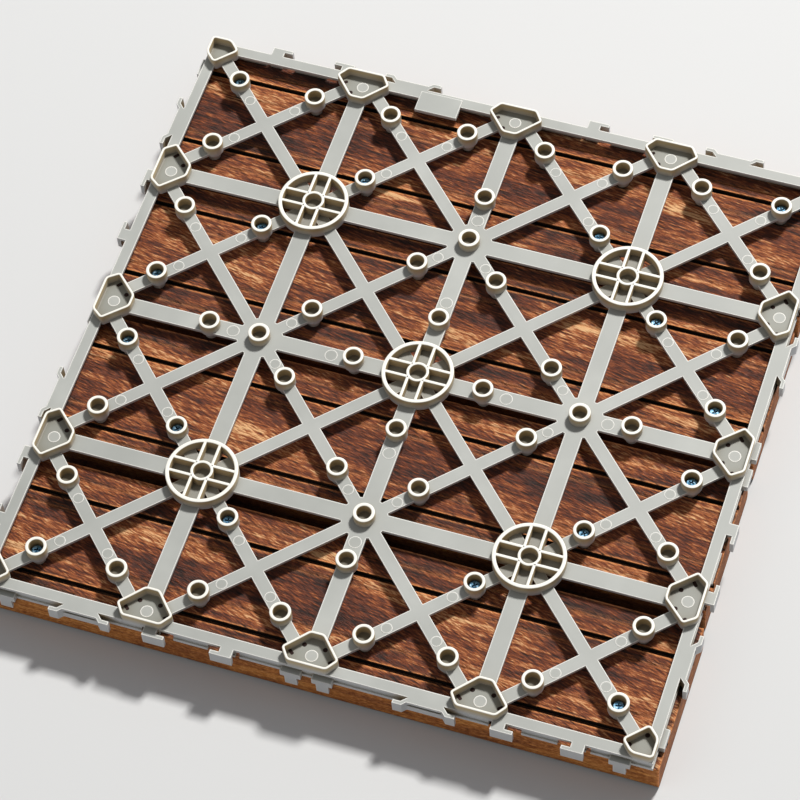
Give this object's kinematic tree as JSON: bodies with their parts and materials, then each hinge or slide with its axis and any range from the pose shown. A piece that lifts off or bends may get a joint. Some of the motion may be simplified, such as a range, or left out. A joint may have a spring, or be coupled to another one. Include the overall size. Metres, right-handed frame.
{
  "type": "interlocking deck tile",
  "caption": "Square interlocking deck tile, underside up: grooved hardwood slats screwed to a moulded base grid with screw bosses, ring hubs, and hooks and clips along its edges.",
  "frame": {"origin": "middle of the tile on the plane of the slats' show faces, which lie on the ground", "axes": "+X along the slats, +Y across them, +Z out of the base grid's feet, which face up as the tile lies"},
  "size_m": [0.3068, 0.3068, 0.0292],
  "materials": {
    "base_plastic": "moulded, light warm grey, matt",
    "slat_wood": "planed reddish brown hardwood, oiled",
    "screw_metal": "zinc plated"
  },
  "bodies": {
    "root": {"base_grid": "base_plastic", "slat_1": "slat_wood", "slat_2": "slat_wood", "slat_3": "slat_wood", "slat_4": "slat_wood", "screws": "screw_metal"}
  },
  "joints": []
}
